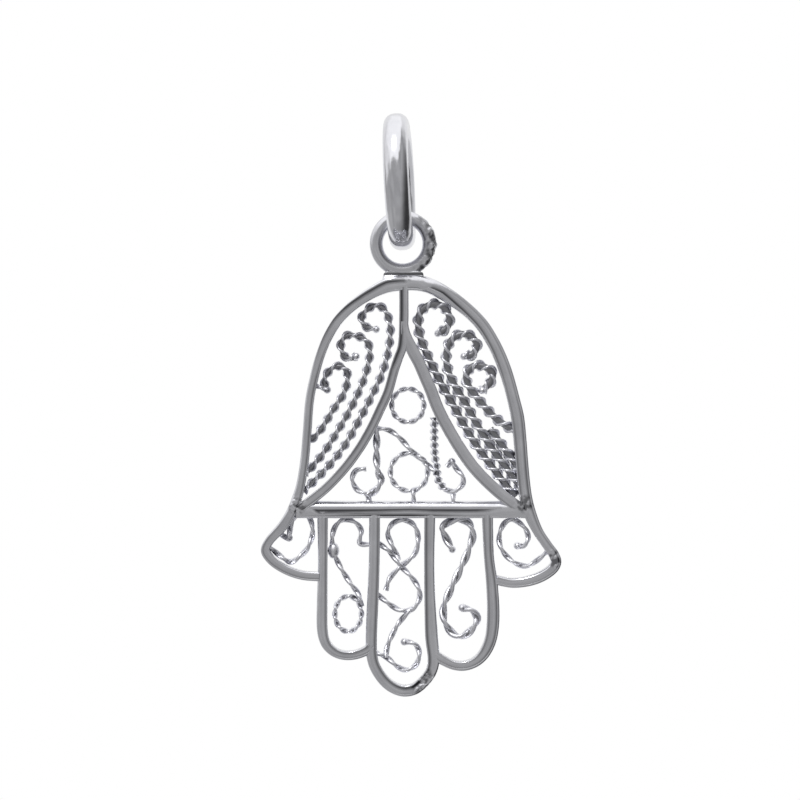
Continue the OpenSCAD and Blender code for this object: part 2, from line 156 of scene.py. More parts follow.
# Middle lines of the filigree, and each strand's look: width, pitch of the twist, and the radii of
# its wires and of the solder between them as shares of the width
LEAF_STRANDS = [
    [[-5.05, 0.90], [-3.85, 2.10], [-2.95, 3.25], [-2.30, 4.40], [-1.65, 5.65], [-1.10, 6.85],
     [-0.78, 8.10], [-0.70, 9.10], [-0.95, 9.93], [-1.45, 10.20], [-1.96, 9.88], [-2.13, 9.48],
     [-1.88, 9.12], [-1.40, 9.00]],
    [[-4.95, 1.75], [-4.10, 2.75], [-3.50, 3.65], [-2.85, 4.75], [-2.30, 5.85], [-1.90, 6.90],
     [-1.72, 7.85], [-1.90, 8.42], [-2.40, 8.68], [-2.88, 8.68], [-3.16, 8.30], [-3.06, 7.78],
     [-2.75, 7.53], [-2.40, 7.65]],
    [[-4.90, 3.45], [-4.50, 3.62], [-4.10, 4.10], [-3.45, 5.15], [-3.05, 5.75], [-2.87, 6.30],
     [-2.85, 6.80], [-3.10, 7.12], [-3.50, 7.12], [-3.85, 6.80], [-4.00, 6.40], [-3.85, 5.98]],
    [[5.55, 0.62], [4.50, 1.98], [3.75, 2.98], [3.05, 4.10], [2.40, 5.30], [1.83, 6.32],
     [1.30, 7.40], [0.90, 8.30], [0.70, 9.20], [0.82, 9.88], [1.35, 10.25], [1.92, 10.15],
     [2.25, 9.65], [2.15, 9.10], [1.68, 8.80]],
    [[5.80, 1.15], [4.82, 2.45], [4.22, 3.30], [3.58, 4.35], [3.00, 5.40], [2.55, 6.15],
     [2.22, 6.85], [2.10, 7.60], [2.25, 8.30], [2.70, 8.72], [3.25, 8.70], [3.62, 8.28],
     [3.45, 7.78], [2.98, 7.65]],
    [[5.70, 3.85], [5.20, 4.12], [4.65, 4.50], [4.12, 5.02], [3.62, 5.62], [3.18, 6.25],
     [3.12, 6.80], [3.50, 7.18], [4.02, 7.12], [4.42, 6.80], [4.30, 6.35], [3.90, 5.95]],
    [[5.85, 1.90], [5.22, 2.75], [4.74, 3.42], [4.30, 4.05]],
]
LEAF_LOOKS = 3 * [(0.50, 1.25, 0.16, 0.23)] + 4 * [(0.62, 1.25, 0.17, 0.27)]
STEM_STRANDS = [
    [[1.50, 4.60], [1.50, 3.70], [1.52, 2.80], [1.62, 2.10], [1.72, 1.45], [2.00, 1.02]],
    [[-1.38, 4.10], [-1.38, 3.20], [-1.38, 2.50], [-1.30, 1.85], [-1.15, 1.45], [-1.40, 1.00],
     [-1.80, 0.72]],
    [[2.40, -2.00], [2.05, -1.35], [1.90, -0.92], [2.25, -0.62], [2.80, -0.52], [3.28, -0.72],
     [3.42, -1.35], [3.15, -2.20], [2.75, -3.10], [2.30, -4.05], [1.97, -4.90], [2.02, -5.60],
     [2.40, -6.18], [2.88, -6.35], [3.38, -6.00], [3.65, -5.48], [3.38, -5.05], [2.88, -4.92]],
]
STEM_LOOKS = [(0.46, 0.7, 0.21, 0.2), (0.40, 1.8, 0.28, 0.2), (0.42, 2.0, 0.27, 0.2)]
FINE_STRANDS = [
    [[-1.50, 4.08], [-0.75, 3.95], [-0.20, 3.55], [0.30, 3.00], [0.90, 2.45], [1.55, 1.90]],
    [[-1.90, 2.02], [-2.40, 1.95], [-2.60, 1.50], [-2.35, 0.98], [-1.85, 0.72], [-1.75, 0.30]],
    [[2.36, 2.40], [2.62, 2.02], [2.92, 1.66], [2.90, 1.22], [2.48, 0.90], [1.98, 1.02]],
    [[2.12, 2.12], [2.38, 2.42]],
    [[2.45, 0.95], [2.45, 0.30]],
    [[0.45, 1.00], [0.47, 0.30]],
    [[-1.60, -1.75], [-2.22, -1.68], [-2.15, -1.05], [-2.50, -0.62], [-3.05, -0.52],
     [-3.46, -0.88], [-3.60, -1.50], [-3.52, -2.15], [-3.18, -2.90], [-2.70, -3.68],
     [-2.28, -4.25], [-2.14, -4.85]],
    [[-0.25, -2.55], [-0.60, -1.80], [-0.82, -1.20], [-0.55, -0.68], [0.00, -0.55],
     [0.50, -0.80], [0.70, -1.50], [0.50, -2.25], [-0.10, -2.80], [-0.68, -3.38],
     [-0.92, -4.05]],
    [[-1.35, -1.65], [-0.75, -2.10], [-0.20, -2.80], [0.30, -3.32], [0.70, -3.90],
     [0.75, -4.50], [0.40, -4.98], [-0.15, -5.05], [-0.65, -4.80], [-1.40, -4.20]],
    [[0.45, -4.92], [-0.15, -5.52], [-0.57, -6.20], [-0.85, -6.90], [-0.90, -7.40]],
    [[-1.45, -7.15], [-0.85, -7.42], [-0.35, -7.85], [0.10, -8.02], [0.55, -7.80],
     [0.76, -7.28], [0.62, -6.82], [0.30, -6.64], [-0.02, -6.62]],
    [[-5.76, -1.45], [-5.66, -0.78], [-5.35, -0.24], [-4.95, -0.20], [-4.64, -0.65],
     [-4.60, -1.30], [-4.85, -1.95], [-5.30, -2.42], [-5.72, -2.62], [-6.20, -2.32],
     [-6.70, -1.90]],
    [[-6.25, -1.20], [-5.78, -1.48]],
    [[5.65, -1.82], [6.00, -1.80], [6.20, -1.42], [6.02, -0.92], [5.55, -0.55], [5.08, -0.62],
     [4.80, -1.10], [4.76, -1.65], [5.02, -2.22], [5.55, -2.68], [6.15, -2.82], [6.70, -2.50],
     [7.15, -2.10]],
]
FINE_LOOKS = len(FINE_STRANDS) * [(FINE_W, 1.7, 0.32, 0.15)]
TIE_BAR = [[-4.50, 6.22], [-4.15, 6.08], [-3.80, 5.98]]
TIE_LOOK = (FINE_W, 1.3, 0.3, 0.15)
# How much further on each strand's twist starts than that of the strand before it, in radians
TURN_ON = 0.7

# Twisted rings: middle, half width, half height. Their look has no pitch, but a number of turns.
RINGS = [[0.18, 5.20, 0.80, 0.83], [0.24, 1.87, 0.93, 0.94], [-2.80, -5.22, 0.66, 0.88]]
RING_LOOK = (FINE_W, 0.28, 0.18)
RING_TURNS, RING_POINTS = 5, 121

# Beads on the strands, one of them a larger lump
FINGER_LUMP = [-3.53, -2.06]
BEADS = [
    [-1.40, 9.00], [-2.40, 7.65], [-3.85, 5.98], [1.68, 8.80], [2.98, 7.65], [3.90, 5.95],
    [2.40, -2.00], [2.88, -4.92], FINGER_LUMP, [5.65, -1.82], [0.00, -6.62], [-5.76, -1.42],
    [2.38, 2.38],
]

# Outline of the solder under the loop, up its left side and down its right one. Its rings between
# the bottom and the top: height, how much painted shade, how far it flares out to the front and
# back.
FOOT = [
    [-1.12, 11.37], [-1.03, 11.78], [-0.90, 11.92], [0.75, 11.92], [0.93, 11.84], [1.03, 11.52],
]
FOOT_DEPTH = 0.9 * LOOP_WIRE
FOOT_BOTTOM_FLARE = 0.16
FOOT_RINGS = [
    (11.50, 0.00, 0.12), (11.60, 0.00, 0.06), (11.68, 0.10, 0.02), (11.72, 0.80, 0.00),
    (11.79, 0.85, 0.00), (11.84, 0.40, 0.00), (11.88, 0.10, 0.00),
]
FOOT_CORNER = [(0.0, 0.12), (0.035, 0.035), (0.12, 0.0)]

# Camera: how wide the photo is in millimetres, the point in its middle, from the origin to the
# right and up, and the lens. What it clips is in metres.
PHOTO_WIDE = 40.0
PHOTO_CENTRE = (0.14, -13.08)
LENS, SENSOR = 180, 36
CLIP_NEAR, CLIP_FAR = 0.01, 10


def add_object(name, data):
    obj = bpy.data.objects.new(name, data)
    bpy.context.scene.collection.objects.link(obj)
    return obj


def make_camera():
    """Square on to the front, with a long lens."""
    data = bpy.data.cameras.new("camera")
    data.lens, data.sensor_width = LENS, SENSOR
    data.clip_start, data.clip_end = CLIP_NEAR, CLIP_FAR
    cam = add_object("camera", data)
    away = PHOTO_WIDE * LENS / SENSOR
    cam.location = (PHOTO_CENTRE[0] * MM, -away * MM, PHOTO_CENTRE[1] * MM)
    cam.rotation_euler = (math.pi / 2, 0, 0)
    bpy.context.scene.camera = cam


make_camera()


# Curves
SPLINE_STEPS = 12


def spline(rows):
    """A curve through the rows, as the solids draw it but finer."""
    p = np.array(rows, float)
    last = len(p) - 1
    out = []
    for i in range(last):
        a, b, c, d = p[max(i - 1, 0)], p[i], p[i + 1], p[min(i + 2, last)]
        for k in range(SPLINE_STEPS):
            t = k / SPLINE_STEPS
            out.append(b + 0.5 * t * ((c - a) + t * (
                (2 * a - 5 * b + 4 * c - d) + t * (3 * b - a - 3 * c + d))))
    out.append(p[-1])
    return np.array(out)


def resample(q, step):
    """The curve in even steps, with how far along it each point is."""
    s = np.concatenate([[0], np.cumsum(np.linalg.norm(np.diff(q[:, :2], axis=0), axis=1))])
    n = max(3, int(round(s[-1] / step)) + 1)
    t = np.linspace(0, s[-1], n)
    return np.stack([np.interp(t, s, q[:, k]) for k in range(q.shape[1])], axis=1), t


def left_of(q, closed=False):
    """The unit vector to the left of the curve at each point."""
    if closed:
        v = np.roll(q[:, :2], -1, axis=0) - np.roll(q[:, :2], 1, axis=0)
    else:
        v = np.gradient(q[:, :2], axis=0)
    v /= np.linalg.norm(v, axis=1)[:, None]
    return np.stack([-v[:, 1], v[:, 0]], axis=1)


# Meshes. The angles, in degrees, are those from which an edge between two faces looks sharp.
SHARP = 50
SHARP_STRAND = 80


def add_piece(name, body, node, verts, faces, material, shade, sharp):
    """A smooth-shaded mesh in place, riding on its body.

    Shade is how much painted shade each point has, and sharp the least angle of a sharp edge.
    """
    mesh = bpy.data.meshes.new(name)
    mesh.from_pydata([tuple(v) for v in np.asarray(verts) * MM], [], [tuple(f) for f in faces])
    mesh.validate()
    # Each point's painted shade, which the silver turns dark and dull
    attribute = mesh.attributes.new("painted_shade", "FLOAT", "POINT")
    attribute.data.foreach_set("value", np.asarray(shade, np.float32))
    mesh.shade_smooth()
    mesh.set_sharp_from_angle(angle=math.radians(sharp))
    mesh.materials.append(material)
    obj = add_object(name, mesh)
    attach(obj, body)
    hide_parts(node)


def add_hand_piece(name, verts, faces, material, shade, sharp=SHARP):
    add_piece(name, "hand", "hand", verts, faces, material, shade, sharp)


def tube_faces(rows, cols, start=0, closed=False):
    """The quads of a tube of rings, with its two ends closed unless it runs back into itself."""
    faces = []
    for i in range(rows if closed else rows - 1):
        a, b = start + i * cols, start + ((i + 1) % rows) * cols
        for j in range(cols):
            k = (j + 1) % cols
            faces.append((a + j, a + k, b + k, b + j))
    if not closed:
        faces.append(tuple(start + j for j in reversed(range(cols))))
        faces.append(tuple(start + (rows - 1) * cols + j for j in range(cols)))
    return faces


def stand(x, y, h):
    """Points of the drawing, stood up in the plane of the hand."""
    return np.stack([x + MIDDLE_X, y, h + BAR_Z], axis=-1)


# Materials. Noise in the metal: scale and detail of its waves, grain, clouds and dull spots
WAVES, GRAIN = (1100, 1.5), (9000, 2)
CLOUDS, DULL_SPOTS = (900, 3), (2500, 2)
# The values of the noise between which clouds and dull spots come up
THIN, THICK = 0.3, 0.7
# Colour in and out of the clouds, as shares of the tone, and roughness, as shares of its own
CLOUDY_TINT, CLEAR_TINT = (0.88, 0.882, 0.93), (1, 1.003, 1.05)
SMOOTHEST, DULLEST = 0.75, 1.35
# The colour and roughness of painted shade, which a point takes as its shade goes to 1
PAINTED_SHADE_COLOUR, PAINTED_SHADE_ROUGH = (0.03, 0.03, 0.035, 1), 0.5


def silver(name, tone, rough, wave, grain):
    """Polished rhodium-plated silver: uneven tone and roughness, a fine waviness, and painted
    shade, dark and duller, where a point's shade says.

    Wave and grain are how high the waves and the grain are, in metres.
    """
    mat = bpy.data.materials.new(name)
    mat.use_nodes = True
    nodes, links = mat.node_tree.nodes, mat.node_tree.links
    bsdf = nodes["Principled BSDF"]
    bsdf.inputs["Metallic"].default_value = 1.0
    place = nodes.new("ShaderNodeTexCoord")
    painted_shade = nodes.new("ShaderNodeAttribute")
    painted_shade.attribute_name = "painted_shade"

    def clouds(scale, detail):
        n = nodes.new("ShaderNodeTexNoise")
        n.inputs["Scale"].default_value = scale
        n.inputs["Detail"].default_value = detail
        links.new(place.outputs["Object"], n.inputs["Vector"])
        return n.outputs["Fac"]

    def between(value, low, high):
        """From low to high as the noise goes from thin to thick."""
        r = nodes.new("ShaderNodeMapRange")
        r.inputs["From Min"].default_value, r.inputs["From Max"].default_value = THIN, THICK
        r.inputs["To Min"].default_value, r.inputs["To Max"].default_value = low, high
        links.new(value, r.inputs["Value"])
        return r.outputs["Result"]

    def mix(kind, factor):
        m = nodes.new("ShaderNodeMix")
        m.data_type = kind
        links.new(factor, m.inputs["Factor"])
        return m

    def bump(scale, detail, high):
        b = nodes.new("ShaderNodeBump")
        b.inputs["Strength"].default_value = 1.0
        b.inputs["Distance"].default_value = high
        links.new(clouds(scale, detail), b.inputs["Height"])
        return b

    clean = mix("RGBA", between(clouds(*CLOUDS), 0.0, 1.0))
    clean.inputs["A"].default_value = (*(tone * c for c in CLOUDY_TINT), 1)
    clean.inputs["B"].default_value = (*(tone * c for c in CLEAR_TINT), 1)
    # Painted shade turns the colour dark and the metal duller
    colour = mix("RGBA", painted_shade.outputs["Fac"])
    colour.inputs["B"].default_value = PAINTED_SHADE_COLOUR
    links.new(clean.outputs["Result"], colour.inputs["A"])
    links.new(colour.outputs["Result"], bsdf.inputs["Base Color"])
    dull = mix("FLOAT", painted_shade.outputs["Fac"])
    dull.inputs["B"].default_value = PAINTED_SHADE_ROUGH
    links.new(between(clouds(*DULL_SPOTS), rough * SMOOTHEST, rough * DULLEST), dull.inputs["A"])
    links.new(dull.outputs["Result"], bsdf.inputs["Roughness"])
    slow, fine = bump(*WAVES, wave), bump(*GRAIN, grain)
    links.new(slow.outputs["Normal"], fine.inputs["Normal"])
    links.new(fine.outputs["Normal"], bsdf.inputs["Normal"])
    return mat


SILVER_BAIL = silver("silver_bail", 0.86, 0.14, 0.00003, 0.000001)
SILVER_FRAME = silver("silver_frame", 0.86, 0.19, 0.00003, 0.000001)
SILVER_STRAND = silver("silver_strand", 0.95, 0.28, 0.00001, 0.000001)


# Lumps of rough solder: how many to a millimetre, how much finer the small ones on them are, and
# how high each kind is
LUMPS, FINER = 3.7, 2.3
LUMPS_HIGH, FINER_HIGH = 1.5, 0.8


def uneven(x, y, z):
    """Uneven lumps about 0.2 mm apart, with finer ones on them, from about -1 to 1."""
    out = []
    for p in zip(x, y, z):
        at = LUMPS * Vector(p)
        out.append(LUMPS_HIGH * noise.noise(at) + FINER_HIGH * noise.noise(FINER * at))
    return np.array(out)


# Spots of rough solder on the frame: to the right, above the palm bar, radius
SOLDER_SPOTS = [[1.15, -8.75, 0.85], [7.45, -2.45, 0.5], [5.95, 0.30, 0.5], [-5.35, 0.20, 0.5]]
# A spot's strength falls from this in its middle to 0 at its radius, and counts as 1 above 1
SPOT_STRONG = 1.7
# The share of its depth that a lump raises the frame by. How much painted shade a spot has, how
# much more in its hollows and less on its lumps, and the most that it has.
SPOT_RAISED = 0.12
SPOT_SHADE, SPOT_HOLLOW, SPOT_DARKEST = 0.18, 1.5, 0.7


def solder_at(x, y, h):
    """How much a point of the frame is raised by rough solder, and its painted shade, deepest in
    hollows.
    """
    lump, painted_mottle, near = np.zeros(len(x)), np.zeros(len(x)), np.zeros(len(x))
    for sx, sh, r in SOLDER_SPOTS:
        from_middle = SPOT_STRONG * ((x - sx) ** 2 + (h - sh) ** 2) / r ** 2
        near = np.maximum(near, np.clip(SPOT_STRONG - from_middle, 0, 1))
    rough = near > 0
    if rough.any():
        lumps = uneven(x[rough], y[rough], h[rough])
        lump[rough] = SPOT_RAISED * near[rough] * np.clip(lumps, 0, 1)
        # Mottled painted shade, deeper in the hollows between the lumps
        painted_mottle[rough] = near[rough] * np.clip(SPOT_SHADE - SPOT_HOLLOW * lumps, 0, SPOT_DARKEST)
    return lump, painted_mottle


# A frame wire's section, from its left edge to its right edge on the front, and back again behind.
# Each side has a rounded edge and, where its width isn't 0, a groove inside that edge with soft
# painted shade in it and on the face just past it, in rows of how far across, how deep and how
# dark.
GROOVE = ((0.1, 0.4, 0.3), (0.4, 1.0, 0.66), (0.7, 0.7, 0.66), (1.0, 0.0, 0.5))
ARC_STEPS, FACE_STEPS = 5, 6
# How far back an edge goes, as a share of its width, and its most, as a share of the wire's
EDGE_DROP, MOST_EDGE = 1.1, 0.45
# How deep a groove is, as a share of its width
GROOVE_DEEP = 0.2
# A groove this wide has its rows' shade and its full soft edge. A wider one has more painted shade,
# to a limit.
FULL_GROOVE = 0.09
DARKEST = 1.35
SOFT_EDGE = 0.09
# The middle of the face stands this share of its width higher than its sides
CROWN = 0.045


def fullness(groove):
    return min(1.0, groove / FULL_GROOVE)


def half_section(half, edge, groove):
    """From one edge inwards: how far in, how far out to the front, how much painted shade."""
    rows = []
    for k in range(ARC_STEPS + 1):
        a = 0.5 * math.pi * k / ARC_STEPS
        rows.append((edge * (1 - math.cos(a)), half - EDGE_DROP * edge * (1 - math.sin(a)), 0.0))
    for share, deep, dark in GROOVE:
        rows.append((edge + groove * share, half - GROOVE_DEEP * groove * deep,
                     dark * min(DARKEST, groove / FULL_GROOVE)))
    rows.append((edge + groove + SOFT_EDGE * fullness(groove), half, 0.0))
    return rows


def wire_section(w, edge_l, edge_r, groove_l, groove_r):
    """All round the wire: how far to the left, how far to the back, how much painted shade."""
    soft = SOFT_EDGE * (fullness(groove_l) + fullness(groove_r))
    crown = CROWN * max(0.0, w - edge_l - edge_r - groove_l - groove_r - soft)
    half = FRAME_DEPTH / 2
    left = np.array(half_section(half - crown, edge_l, groove_l))
    right = np.array(half_section(half - crown, edge_r, groove_r))
    left[:, 0] = w / 2 - left[:, 0]
    right[:, 0] = -w / 2 + right[:, 0]
    t = np.arange(1, FACE_STEPS) / FACE_STEPS
    face = np.stack([left[-1, 0] + (right[-1, 0] - left[-1, 0]) * t,
                     half - crown * (1 - np.sin(math.pi * t)), 0 * t], axis=1)
    off, y, dark = np.concatenate([left, face, right[::-1]]).T
    return (np.concatenate([off, off[::-1]]), np.concatenate([-y, y[::-1]]),
            np.concatenate([dark, dark[::-1]]))


# How far apart a wire's sections are
FRAME_STEP = 0.05
# A point this near the edge of the width is on the wire's side
SIDE = 0.001


def frame_wire(name, rows, edges):
    """A wire of the frame, from the tables of its line and of its edges and grooves."""
    numbered = [[*row, number] for number, row in enumerate(rows)]
    q, _ = resample(spline(numbered), FRAME_STEP)
    left = left_of(q)
    table = np.array(edges, float)
    edge_l, edge_r, groove_l, groove_r = (
        np.interp(q[:, 3], table[:, 0], table[:, k]) for k in (1, 2, 3, 4))
    verts, dark = [], []
    for i, w in enumerate(q[:, 2]):
        edge = MOST_EDGE * w
        off, y, shade = wire_section(
            w, min(edge_l[i], edge), min(edge_r[i], edge), groove_l[i], groove_r[i])
        at_x, at_h = q[i, 0] + left[i, 0] * off, q[i, 1] + left[i, 1] * off
        lump, painted_mottle = solder_at(at_x, y, at_h)
        # No solder on the wire's two sides
        off_side = np.abs(off) < w / 2 - SIDE
        verts.append(stand(at_x, y * (1 + lump * off_side), at_h))
        dark.append(np.clip(shade + painted_mottle * off_side, 0, 1))
    add_hand_piece(name, np.concatenate(verts), tube_faces(len(q), len(verts[0])), SILVER_FRAME,
                   np.concatenate(dark))


# Twisted pairs of wires: how far apart their sections are, and the sides of one
STRAND_STEP = 0.04
TUBE_SIDES = 12
# A wire's least radius to the front, as a share of the strand's depth, and the solder's, as a share
# of how far the wires stand out to the front
WIRE_DEEP, CORE_DEEP = 0.18, 0.7
# Painted shade: how dark the solder between the wires is, and a wire where it faces the other: how
# fast, from where and at most
CORE_SHADE = 0.64
RECESS_SLOPE, RECESS_START, RECESS_DARKEST = 1.5, 1.0, 0.5


def twisted(rows, w, wire, core, pitch=None, phase=0.0, turns=None):
    """Two wires twisted together, as deep as the solids' ribbon, with solder between them painted
    dark as the shade in the gap, and painted shade where the wires face each other.

    Wire and core are the radii of each wire and of the solder, as shares of the width.
    With turns instead of a pitch, the line is closed.
    """
    closed = turns is not None
    q, s = resample(np.array(rows) if closed else spline(rows), STRAND_STEP)
    if closed:
        q, s = q[:-1], s[:-1]
        pitch = (s[-1] + s[1] - s[0]) / turns
    left = left_of(q, closed)
    r_l, r_y = wire * w, max(wire * w, WIRE_DEEP * FILIGREE_DEPTH)
    out_l, out_y = w / 2 - r_l, FILIGREE_DEPTH / 2 - r_y
    around = np.linspace(0, TAU, TUBE_SIDES, endpoint=False)[None, :]
    verts, faces, dark = [], [], []

    def add_tube(at_l, at_y, radius_l, radius_y, shade):
        off = at_l + radius_l * np.cos(around)
        at_x, at_h = q[:, 0:1] + left[:, 0:1] * off, q[:, 1:2] + left[:, 1:2] * off
        faces.extend(tube_faces(len(q), TUBE_SIDES, sum(len(v) for v in verts), closed))
        verts.append(stand(at_x, at_y + radius_y * np.sin(around), at_h).reshape(-1, 3))
        dark.append(np.broadcast_to(shade, off.shape).reshape(-1))

    for strand in (0, 1):
        turn = (TAU * s / pitch + phase + math.pi * strand)[:, None]
        # Painted shade where a point faces the other wire, in the recess between them
        add_tube(out_l * np.cos(turn), out_y * np.sin(turn), r_l, r_y,
                 np.clip(-RECESS_SLOPE * np.cos(around - turn) - RECESS_START, 0, RECESS_DARKEST))
    # The solder core, painted dark as the shade in the gap between the wires
    middle = np.zeros((len(q), 1))
    add_tube(middle, middle, core * w, out_y * CORE_DEEP, CORE_SHADE)
    return np.concatenate(verts), faces, np.concatenate(dark)


# Beads: width, height and depth, and how near a strand's line they belong to it
BEAD_SIZE = (0.39, 0.39, 0.63)
LUMP_SIZE = (0.60, 0.84, 0.78)
BEAD_NEAR = 0.12
BEAD_RINGS, BEAD_SIDES = 7, 14
# 1 makes an ellipsoid, and less a blunter bead
BEAD_BLUNT = 0.8


def bead(x, h, wide, tall, deep, start):
    """A small round blob of metal, on the end of a strand or part of the way along it."""
    verts = []
    for i in range(BEAD_RINGS + 1):
        b = math.pi * i / BEAD_RINGS
        r = math.sin(b) ** BEAD_BLUNT
        for k in range(BEAD_SIDES):
            a = TAU * k / BEAD_SIDES
            verts.append(stand(x + wide / 2 * r * math.cos(a), -deep / 2 * math.cos(b),
                               h + tall / 2 * r * math.sin(a)))
    return np.array(verts), tube_faces(BEAD_RINGS + 1, BEAD_SIDES, start)


def strand_piece(name, rows, w, pitch, wire, core, phase):
    """A twisted pair along the rows, with the beads that lie on it."""
    v, f, d = twisted(rows, w, wire, core, pitch, phase)
    for b in BEADS:
        if any(math.dist(b, e) < BEAD_NEAR for e in spline(rows)):
            bv, bf = bead(*b, *(LUMP_SIZE if b is FINGER_LUMP else BEAD_SIZE), len(v))
            v, f, d = np.concatenate([v, bv]), f + bf, np.concatenate([d, np.zeros(len(bv))])
    add_hand_piece(name, v, f, SILVER_STRAND, d, SHARP_STRAND)


# The bail and the loop
BAIL_STEPS = 160
CORNER_STEPS = 8
LOOP_STEPS, LOOP_SIDES = 180, 28
# Marks of painted shade on the loop: its solder, the crease of its joint with the crown and a dark
# line on the left of its inside: their angle from its right side, in radians, and how narrow they
# are
LOOP_SOLDER, LOOP_JOINT, LOOP_LINE = (-0.1, 2.5), (-0.5 * math.pi, 8), (0.5 + math.pi, 2)
# Where they are across the wire, from -1 on the loop's inside to 1 on its outside: from where the
# solder, from where the joint and how soft, the line's middle and half its width
SOLDER_FROM, JOINT_FROM, JOINT_SOFT, LINE_AT, LINE_HALF = -0.6, 0.5, 0.15, -0.45, 0.25
# The shares of its radius that the solder adds to the wire, and that its lumps add
SOLDER_THICK, SOLDER_LUMPY = 0.08, 0.20
# Painted shade: how dark the solder is, how much less its lumps are, the joint's crease, the line,
# and the most of all
SOLDER_SHADE, LUMP_SHADE, JOINT_SHADE, LINE_SHADE, LOOP_DARKEST = 0.48, 1.08, 0.7, 0.8, 0.8


def make_bail():
    """A ring of thick wire with rounded corners, leaning to the left and turned a little."""
    flat_w, flat_t = BAIL_W / 2 - BAIL_CORNER, BAIL_T / 2 - BAIL_CORNER
    section = []
    for sx, sy, a0 in ((1, 1, 0), (-1, 1, 90), (-1, -1, 180), (1, -1, 270)):
        for k in range(CORNER_STEPS + 1):
            a = math.radians(a0 + 90 * k / CORNER_STEPS)
            section.append((sx * flat_t + BAIL_CORNER * math.cos(a),
                            sy * flat_w + BAIL_CORNER * math.sin(a)))
    section = np.array(section)
    ring = []
    cl, sl = math.cos(BAIL_LEAN), math.sin(BAIL_LEAN)
    cy, sy = math.cos(BAIL_YAW), math.sin(BAIL_YAW)
    for i in range(BAIL_STEPS):
        a = TAU * i / BAIL_STEPS
        r = BAIL_R + BAIL_T / 2 + section[:, 0]
        x, y, z = section[:, 1], r * math.cos(a), r * math.sin(a)
        x, y = x * cy + y * sy, -x * sy + y * cy
        x, z = x * cl - z * sl, x * sl + z * cl
        ring.append(np.stack([x, y, z], axis=1) + BAIL_CENTRE)
    verts = np.concatenate(ring)
    faces = tube_faces(BAIL_STEPS, len(section), closed=True)
    add_piece("bail_ring", "bail", "bail", verts, faces, SILVER_BAIL,
              np.zeros(len(verts)), SHARP)


def mark(a, at, narrow):
    """How strong a mark on the loop is: 1 in its middle, and 0 from a quarter turn away."""
    return max(0.0, math.cos(a - at)) ** narrow


def make_loop():
    """The loop's wire, thicker and lumpy on the right, where its ends are soldered, with painted
    shade, which also dulls it, there, at its joint with the crown and in a line on its inside.
    """
    ring, dark = [], []
    b = np.linspace(0, TAU, LOOP_SIDES, endpoint=False)
    outwards = np.cos(b)
    on_solder = np.clip(outwards - SOLDER_FROM, 0, 1)
    on_joint = np.clip((outwards - JOINT_FROM) / JOINT_SOFT, 0, 1)
    on_line = np.clip(1 - np.abs(outwards - LINE_AT) / LINE_HALF, 0, 1)
    wire = LOOP_WIRE / 2
    for i in range(LOOP_STEPS):
        a = TAU * i / LOOP_STEPS
        solder = mark(a, *LOOP_SOLDER) * on_solder
        r = LOOP_R + wire * outwards
        lumps = uneven(r * math.cos(a), wire * np.sin(b), r * math.sin(a))
        thick = wire * (1 + solder * (SOLDER_THICK + SOLDER_LUMPY * lumps))
        r = LOOP_R + thick * outwards
        at = np.stack([r * math.cos(a), thick * np.sin(b), r * math.sin(a)], axis=1)
        ring.append(at + LOOP_CENTRE)
        # Painted shade: mottled on the solder, in the crease at the crown and in the line inside
        dark.append(np.clip(solder * (SOLDER_SHADE - LUMP_SHADE * lumps)
                            + JOINT_SHADE * mark(a, *LOOP_JOINT) * on_joint
                            + LINE_SHADE * mark(a, *LOOP_LINE) * on_line, 0, LOOP_DARKEST))
    faces = tube_faces(LOOP_STEPS, LOOP_SIDES, closed=True)
    add_hand_piece("top_loop", np.concatenate(ring), faces, SILVER_FRAME, np.concatenate(dark))


def make_foot():
    """The solder under the loop, in level rings, with painted shade in the crease where it meets
    the crown.
    """
    (x0, h0), (x1, h1), (x2, h2), (x3, h3), (x4, h4), (x5, h5) = FOOT
    verts, dark = [], []
    for h, shade, flare in ((h0, 0.0, FOOT_BOTTOM_FLARE), *FOOT_RINGS, (h2, 0.0, 0.0)):
        low = np.interp(h, (h0, h1, h2), (x0, x1, x2))
        high = np.interp(h, (h5, h4, h3), (x5, x4, x3))
        front = FOOT_DEPTH / 2 + flare
        for x, side, face, order in ((high, 1, 1, 1), (low, -1, 1, -1),
                                     (low, -1, -1, 1), (high, 1, -1, -1)):
            for in_side, in_face in FOOT_CORNER[::order]:
                verts.append(stand(x - side * in_side, face * (front - in_face), h))
                dark.append(shade)
    cols = 4 * len(FOOT_CORNER)
    faces = tube_faces(len(verts) // cols, cols)
    add_hand_piece("loop_solder", np.array(verts), faces, SILVER_FRAME, np.array(dark))


make_bail()
make_loop()
make_foot()
frame_wire("frame_outer", OUTER_FRAME, OUTER_EDGES)
frame_wire("finger_left", LEFT_FINGER, LEFT_FINGER_EDGES)
frame_wire("finger_middle", MIDDLE_FINGER, MIDDLE_FINGER_EDGES)
frame_wire("finger_right", RIGHT_FINGER, RIGHT_FINGER_EDGES)
frame_wire("divider_left", LEFT_DIVIDER, LEFT_DIVIDER_EDGES)
frame_wire("divider_right", RIGHT_DIVIDER, RIGHT_DIVIDER_EDGES)
frame_wire("palm_bar", PALM_BAR, PALM_BAR_EDGES)

